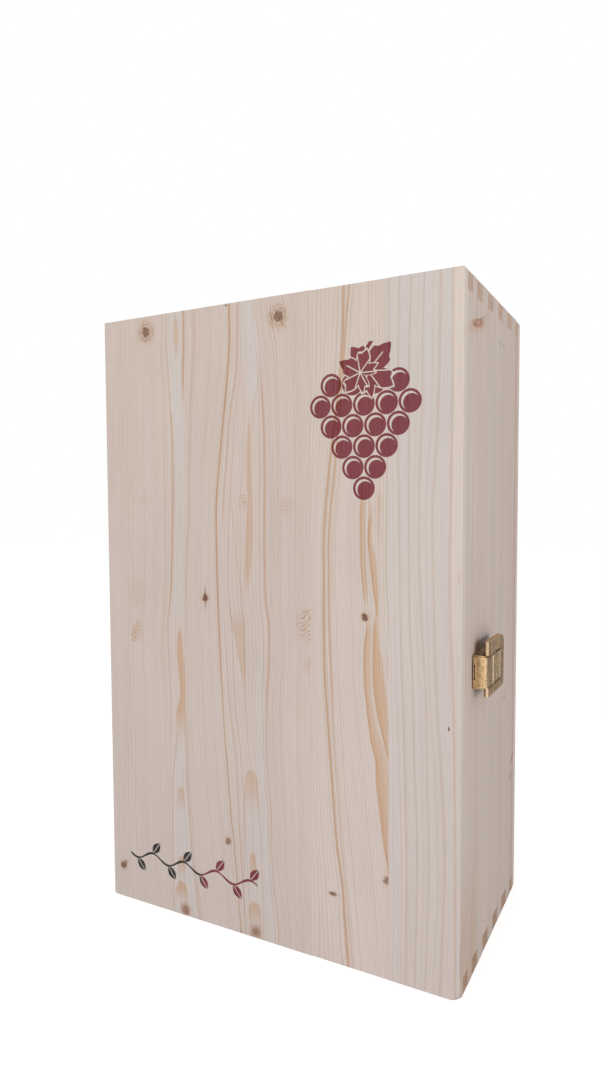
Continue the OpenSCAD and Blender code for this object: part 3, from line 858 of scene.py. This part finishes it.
def hidden_board(nodes, axes, seed, knots, grounds, slope=0.3, pitch=1.7):
    """A row of WOODS for boards that the photograph hides.

    They have flames, some strong rings, and knots given as (along, across, size).
    """

    def draw(marks):
        marks.part(*[(along, across, 2.6 * size) for along, across, size in knots])
        sway = noise(marks.along / 150, marks.across / 90, seed, 1) * 14
        sway = noise(marks.along / 50, marks.across / 30, seed + 5, 1) * 2 + sway
        spread = marks.across + sway
        count = spread / pitch
        strong = chance(count / 2, seed + 0.5)
        part = math_node("FRACT", count / 2)
        strong = ramp(strong, 0.80, 0.95) * ramp(part, 0.35, 0.85) * ramp(part, 1, 0.93)
        marks.add("amber", strong * 0.6)
        flame = noise(spread / 30, marks.along / 400, seed + 9, 1)
        marks.add("pale", ramp(flame, 0.15, 0.45, 0, 0.7))
        for along, across, size in knots:
            marks.knot(along, across, size, size * 2.6, size * 4, 0.9, 1.3)
        return count

    return nodes, axes, seed, draw, grounds, slope


# Steps in the box: along X, Y or Z, which way, and what is added
TO_RIGHT = (0, 1, X_WALL)
TO_BACK = (1, 1, Y_FACE)
DOWN = (2, -1, BOX_H)

# Which steps are across, along and into each board
FRONT = (TO_RIGHT, DOWN, TO_BACK)
BACK = (TO_RIGHT, DOWN, (1, -1, Y_FACE))
RIGHT = (TO_BACK, DOWN, (0, -1, X_WALL))
LEFT = (TO_BACK, DOWN, TO_RIGHT)
TOP = (TO_BACK, TO_RIGHT, DOWN)
BOTTOM = (TO_BACK, TO_RIGHT, (2, 1, 0.0))
MIDDLE = (TO_BACK, DOWN, (0, 1, 3.0))

# Ground colours that boards share
SIDE_GROUND = ((205, 189, 179), (203, 187, 178))
END_GROUND = ((203, 187, 177), (204, 189, 180))
# The bottom board's end grain is darker: its own colour, and a painted shade where the box stands
# on the floor
BOTTOM_END_GRAIN_AND_SHADE = ((178, 157, 143),)

# For each wood: its nodes, axes, seed, what draws it, grounds, slope, and if the print is on it
WOODS = {
    "spruce_lid_left": (
        ("lid_stave_left",), FRONT, 2, draw_left, ((203, 188, 179), (202, 189, 183)), 0, True),
    "spruce_lid_middle": (
        ("lid_stave_middle",), FRONT, 5, draw_middle, ((205, 192, 182), (209, 195, 189)), 0,
        True),
    "spruce_lid_right": (
        ("lid_stave_right",), FRONT, 8, draw_right, ((204, 195, 190), (205, 193, 188)), 0,
        True),
    "spruce_side_right": (
        ("lid_rim_right", "wall_right"), RIGHT, 11, draw_wall,
        ((208, 195, 187), (202, 189, 182)), 0.3),
    "spruce_side_left": hidden_board(
        ("lid_rim_left", "wall_left"), LEFT, 14, ((96, 82, 2.4), (262, 34, 1.6)), SIDE_GROUND),
    "spruce_top": hidden_board(
        ("lid_rim_top", "end_board_top"), TOP, 17, ((58, 74, 2),), END_GROUND),
    "spruce_bottom": hidden_board(
        ("lid_rim_bottom", "end_board_bottom"), BOTTOM, 20, ((150, 40, 1.8),),
        END_GROUND + BOTTOM_END_GRAIN_AND_SHADE),
    "spruce_back_left": hidden_board(
        ("back_stave_left",), BACK, 23, ((70, 30, 2.6), (231, 96, 1.6)), SIDE_GROUND, 0.2),
    "spruce_back_middle": hidden_board(
        ("back_stave_middle",), BACK, 26, ((301, 160, 2),),
        ((207, 192, 181), (205, 190, 180)), 0.2),
    "spruce_back_right": hidden_board(
        ("back_stave_right",), BACK, 29, ((128, 203, 1.5),),
        ((208, 195, 187), (204, 191, 184)), 0.2, 2.2),
    "spruce_divider": hidden_board(
        ("divider",), MIDDLE, 32, ((190, 70, 2.2),), ((206, 190, 180), (204, 188, 179)), 0.2),
}


# Brass

# What each of these multiplies the metal's colour by: dirt, then a painted dark reflection, a
# painted cooler reflection on the bend, painted shade in the slots and painted shade in hollows
GRIME = (0.55, 0.42, 0.32)
DARK_REFLECTION = (0.45, 0.40, 0.34)
BEND_REFLECTION = (0.78, 0.82, 0.92)
SLOT_SHADE = (0.30, 0.20, 0.13)
HOLLOW_SHADE = (0.16, 0.10, 0.07)
# Tint of what it reflects at a low angle
GLANCING = (0.85, 0.75, 0.64, 1.0)


def brass_material(name, bright, dull, sheen_colour, rough, sheen_and_dark_places=()):
    """Pressed brass, mottled and brushed, with painted light. Its front faces stay bright and its
    side faces are painted duller and darker, a painted reflection of a darker room. Where it
    stands out it gets painted highlights.

    The last argument gives, for places from front to back in millimetres behind the lid's face,
    how far the outside gets a painted highlight, or below zero a painted dark reflection.
    """
    material, point, normal = begin_material(name)
    x, y, z = [number * MM for number in point]
    cloud = noise(x / 1.8, y / 1.8, z / 1.8, 4.0, 0.65)
    brushed = noise(x / 0.3, y / 0.3, z / 9.0, 2.0)
    drawn = noise(x / 1.1, y / 1.1, z / 30.0 + 7.0, 2.0)
    grime = ramp(noise(x / 0.8, y / 0.8, z / 0.8 + 31.0, 3.0, 0.65), 0.15, 0.5)
    outside = ramp(abs(normal[0]), 0.45, 0.95)
    # Painted reflection: faces turned to either side lean to the dull colour, and noise mottles all
    # of it
    amount = clamped(outside * 0.8 + 0.1 + cloud + drawn * 0.9 + brushed * 0.6)
    colour = blend(amount, linear(*bright), linear(*dull))
    colour = tint(colour, grime * 0.35, GRIME)
    # Painted highlight: rounded edges, found with the Bevel node, are brightened, standing for the
    # light they catch and for wear
    rounded = node_with("ShaderNodeBevel", {"Radius": 0.0005}, samples=6)
    alike = node("ShaderNodeVectorMath", operation="DOT_PRODUCT")
    feed(alike.inputs[0], rounded.outputs[0])
    feed(alike.inputs[1], node("ShaderNodeNewGeometry").outputs["Normal"])
    worn = ramp(Num(alike.outputs["Value"]), 0.99, 0.80)
    # Painted shade: hollows, slots and gaps between parts are darkened through ambient occlusion
    hidden = node_with("ShaderNodeAmbientOcclusion", {"Distance": 0.0014}, samples=8)
    hollow_shade = ramp(Num(hidden.outputs["AO"]), 0.86, 0.34)
    if sheen_and_dark_places:
        behind = y + Y_FACE
        # Painted highlights on the raised ridges and the pin roll, and painted dark reflections
        # where the value is below zero, on the outside faces
        sheen_and_dark = path(behind, sheen_and_dark_places, RUB_SPAN, 1.0, "VECTOR") * outside
        above = z - LATCH_Z
        upper = window(above, 6.7, 7.3, 8.2, 8.8)
        lower = window(-above, 6.8, 7.3, 8.5, 9.3)
        # Painted shade: the slots above and below the latch's middle are painted dark, their edges
        # too
        slot_shade = clamped(upper * 0.75 + lower) * ramp(behind, 47.5, 46.5) * outside
        colour = tint(colour, clamped(-sheen_and_dark), DARK_REFLECTION)
        # Painted reflection and highlight: the face bent towards the front gets a painted cooler
        # reflection, and on the wings' barrels a painted highlight
        turned = window(normal[0], 0.2, 0.45, 0.66, 0.88) * ramp(behind, 23.4, 23.0)
        on_wing = ramp(abs(above), 7.5, 7.9)
        colour = tint(colour, turned * (1.0 - on_wing), BEND_REFLECTION)
        worn = math_node("MAXIMUM", worn, clamped(sheen_and_dark + turned * on_wing * 0.8))
        worn = worn * (1.0 - slot_shade)
        colour = tint(colour, slot_shade * 0.9, SLOT_SHADE)
    # The painted highlights go on except in hollows, then the painted shade of the hollows
    colour = blend(worn * 0.85 * (1.0 - hollow_shade), colour, linear(*sheen_colour))
    colour = tint(colour, hollow_shade, HOLLOW_SHADE)
    roughness = math_node("MULTIPLY_ADD", amount, 0.14, rough)
    shader = node_with("ShaderNodeBsdfPrincipled", {
        "Base Color": colour, "Roughness": roughness, "Metallic": 1.0,
        "Specular Tint": GLANCING})
    end_material(shader, brushed * 0.4 + cloud * 0.6, 0.3, 0.00006)
    return material


# Places behind the lid's face, in millimetres, with how far each gets a painted highlight, or below
# zero a painted dark reflection
RUB_SPAN = 60.0
STRAP_SHEEN_AND_DARK = (
    (20, 0), (21, -0.5), (27.8, -0.35), (28.6, 0.1), (29.2, 0.75), (29.8, 0.65), (30.4, 0.1),
    (36, -0.15), (42, 0.1), (43.2, -0.9), (43.9, -0.8), (44.3, 0.9), (45.6, 1), (46, 0))
LEVER_SHEEN_AND_DARK = ((20, 0.3), (22, -0.1), (44, -0.1), (48, -0.3), (52, -0.5), (56, -0.5))

# For each brass: its nodes, bright colour, dull colour of the painted darker side faces, colour of
# the painted highlights, roughness, and where it gets painted highlights and dark reflections
BRASSES = {
    "brass_bright": (("keeper",), (220, 186, 140), (118, 97, 74), (230, 208, 174), 0.25),
    "brass_hinge": (
        ("upper_hinge_box_leaf", "upper_hinge_lid_leaf", "lower_hinge_box_leaf",
         "lower_hinge_lid_leaf", "latch_base"),
        (208, 174, 126), (164, 134, 94), (236, 214, 180), 0.24),
    "brass_strap": (
        ("latch_strap",), (222, 188, 142), (105, 88, 69), (250, 234, 208), 0.24, STRAP_SHEEN_AND_DARK),
    "brass_dull": (
        ("latch_lever",), (214, 186, 152), (104, 80, 58), (222, 196, 162), 0.26, LEVER_SHEEN_AND_DARK),
    "brass_turned": (
        ("upper_hinge_pin", "lower_hinge_pin", "lever_pin", "strap_pin"),
        (214, 188, 150), (150, 124, 94), (232, 212, 182), 0.20),
    "brass_nails": (
        ("box_hinge_nails", "lid_hinge_nails", "latch_base_nails", "keeper_nails"),
        (220, 196, 156), (176, 150, 112), (236, 216, 182), 0.22),
}


# Finish of the CAD nodes

# Sizes in metres: how near points are merged, and how wide edges are rounded
MERGED = 0.000002
WOOD_EDGE = 0.0006
BRASS_EDGE = 0.00012
# A wood edge turns by more than this many radians, a brass edge by more than these degrees
WOOD_TURN = 0.6
BRASS_TURN = 40
# How much of the rounding an edge inside a joint gets
JOINT_SHARE = 0.2


def edge_weights():
    """Geometry nodes that mark outer box edges fully and joint edges a little, for the bevel."""
    tree = bpy.data.node_groups.new("edge_weights", "GeometryNodeTree")
    for name, way, kind in (("Geometry", "INPUT", "Geometry"), ("Joint", "INPUT", "Float"),
                            ("Geometry", "OUTPUT", "Geometry")):
        tree.interface.new_socket(name, in_out=way, socket_type="NodeSocket" + kind)
    Num.tree = tree
    given = node("NodeGroupInput")
    at = node("ShaderNodeSeparateXYZ")
    feed(at.inputs[0], node("GeometryNodeInputPosition").outputs[0])
    x, y, z = [Num(socket) for socket in at.outputs]
    near = 0.0001
    count = math_node("GREATER_THAN", abs(x), X_WALL / MM - near)
    count = math_node("GREATER_THAN", abs(y), Y_FACE / MM - near) + count
    half_height = BOX_H / 2 / MM
    count = math_node("GREATER_THAN", abs(z - half_height), half_height - near) + count
    outer = math_node("GREATER_THAN", count, 1.5)
    turn = Num(node("GeometryNodeInputMeshEdgeAngle").outputs[0])
    sharp = math_node("GREATER_THAN", turn, WOOD_TURN)
    weight = math_node("MAXIMUM", outer, Num(given.outputs[1])) * sharp
    inputs = {"Geometry": given.outputs[0], "Name": "bevel_weight_edge", "Value": weight}
    store = node_with("GeometryNodeStoreNamedAttribute", inputs, data_type="FLOAT", domain="EDGE")
    node("NodeGroupOutput", store.outputs[0])
    return tree


def add_weld(piece):
    weld = piece.modifiers.new("weld", "WELD")
    weld.merge_threshold = MERGED


def add_bevel(piece, method, width, segments):
    bevel = piece.modifiers.new("bevel", "BEVEL")
    bevel.limit_method = method
    bevel.width = width
    bevel.segments = segments
    return bevel


def finish_wood(piece, material, weights, joint):
    piece.material_slots[0].material = material
    add_weld(piece)
    marked = piece.modifiers.new("marked", "NODES")
    marked.node_group = weights
    marked[weights.interface.items_tree["Joint"].identifier] = joint
    add_bevel(piece, "WEIGHT", WOOD_EDGE, 3)


def finish_brass(piece, material):
    piece.material_slots[0].material = material
    add_weld(piece)
    bevel = add_bevel(piece, "ANGLE", BRASS_EDGE, 2)
    bevel.angle_limit = math.radians(BRASS_TURN)
    smooth = piece.modifiers.new("smooth", "WEIGHTED_NORMAL")
    smooth.keep_sharp = True


def dress_nodes():
    weights = edge_weights()
    for name, (pieces, *spec) in WOODS.items():
        material = wood_material(name, *spec)
        for piece in pieces:
            joint = 0.0 if "stave" in piece else JOINT_SHARE
            finish_wood(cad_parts[piece], material, weights, joint)
    for name, (pieces, *spec) in BRASSES.items():
        material = brass_material(name, *spec)
        for piece in pieces:
            finish_brass(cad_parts[piece], material)


# Camera, floor and light

# The view's lens in millimetres, its place in metres, and where right, down and ahead point
LENS = 23.958
SENSOR = 36.0
VIEW_PLACE = (0.201555, -0.395794, 0.240206)
VIEW_RIGHT = Vector((0.88366511, 0.46809759, -0.00454169))
VIEW_DOWN = Vector((0.02097959, -0.04929335, -0.99856398))
VIEW_AHEAD = Vector((-0.46764927, 0.88230086, -0.05337931))

# The even light's strength, and the floor's colours, glow, and half width and height in metres
WORLD_LEVEL = 0.56
WHITE = (1.0, 1.0, 1.0, 1.0)
FLOOR_LIT = (0.8, 0.8, 0.8, 1.0)
FLOOR_SEEN = (0.40, 0.40, 0.40, 1.0)
FLOOR_GLOW = 0.78
FLOOR_HALF = 4.0
FLOOR_Z = -0.0002


def make_camera():
    data = bpy.data.cameras.new("camera")
    data.lens = LENS
    data.sensor_width = SENSOR
    data.clip_start = 0.01
    camera = bpy.data.objects.new("camera", data)
    turned = Matrix((VIEW_RIGHT, -VIEW_DOWN, -VIEW_AHEAD)).transposed().to_4x4()
    camera.matrix_world = Matrix.Translation(VIEW_PLACE) @ turned
    bpy.context.scene.collection.objects.link(camera)
    bpy.context.scene.camera = camera


def seen_rays():
    """One for rays that show the background itself: from the camera, off metal or through glass."""
    rays = node("ShaderNodeLightPath")
    total = Num(rays.outputs["Is Camera Ray"]) + Num(rays.outputs["Is Glossy Ray"])
    return clamped(total + Num(rays.outputs["Is Transmission Ray"]))


def make_world():
    world = bpy.data.worlds.new("studio")
    bpy.context.scene.world = world
    clear_tree(world)
    seen = seen_rays()
    soft = node_with("ShaderNodeBackground", {"Color": WHITE, "Strength": WORLD_LEVEL})
    white = node_with("ShaderNodeBackground", {"Color": WHITE})
    mixed = node("ShaderNodeMixShader", seen, soft.outputs[0], white.outputs[0])
    node("ShaderNodeOutputWorld", mixed.outputs[0])


def make_floor():
    """Pale floor that looks white and still takes a faint shadow."""
    mesh = bpy.data.meshes.new("floor")
    signs = ((-1, -1), (1, -1), (1, 1), (-1, 1))
    corners = [(x * FLOOR_HALF, y * FLOOR_HALF, FLOOR_Z) for x, y in signs]
    mesh.from_pydata(corners, [], [(0, 1, 2, 3)])
    floor = bpy.data.objects.new("floor", mesh)
    bpy.context.scene.collection.objects.link(floor)
    material = bpy.data.materials.new("floor_white")
    clear_tree(material)
    seen = seen_rays()
    plain = node("ShaderNodeBsdfDiffuse", FLOOR_LIT)
    faint = node("ShaderNodeBsdfDiffuse", FLOOR_SEEN)
    glow = node_with("ShaderNodeEmission", {"Strength": FLOOR_GLOW})
    both = node("ShaderNodeAddShader", faint.outputs[0], glow.outputs[0])
    mixed = node("ShaderNodeMixShader", seen, plain.outputs[0], both.outputs[0])
    node("ShaderNodeOutputMaterial", mixed.outputs[0])
    mesh.materials.append(material)


def make_lamp(name, place, aim, size, power):
    data = bpy.data.lights.new(name, "AREA")
    data.shape = "DISK"
    data.size = size
    data.energy = power
    lamp = bpy.data.objects.new(name, data)
    lamp.location = place
    lamp.rotation_euler = (Vector(aim) - Vector(place)).to_track_quat("-Z", "Y").to_euler()
    bpy.context.scene.collection.objects.link(lamp)


def make_lamps():
    make_lamp("key", place=(-0.2, -2.1, 1.0), aim=(0.0, 0.0, 0.17), size=0.8, power=18.8)
    make_lamp("side", place=(1.95, -0.45, 0.5), aim=(0.0, 0.0, 0.18), size=0.7, power=10.0)


make_camera()
make_world()
make_lamps()
make_floor()
dress_nodes()
bpy.context.scene.view_settings.view_transform = "Standard"
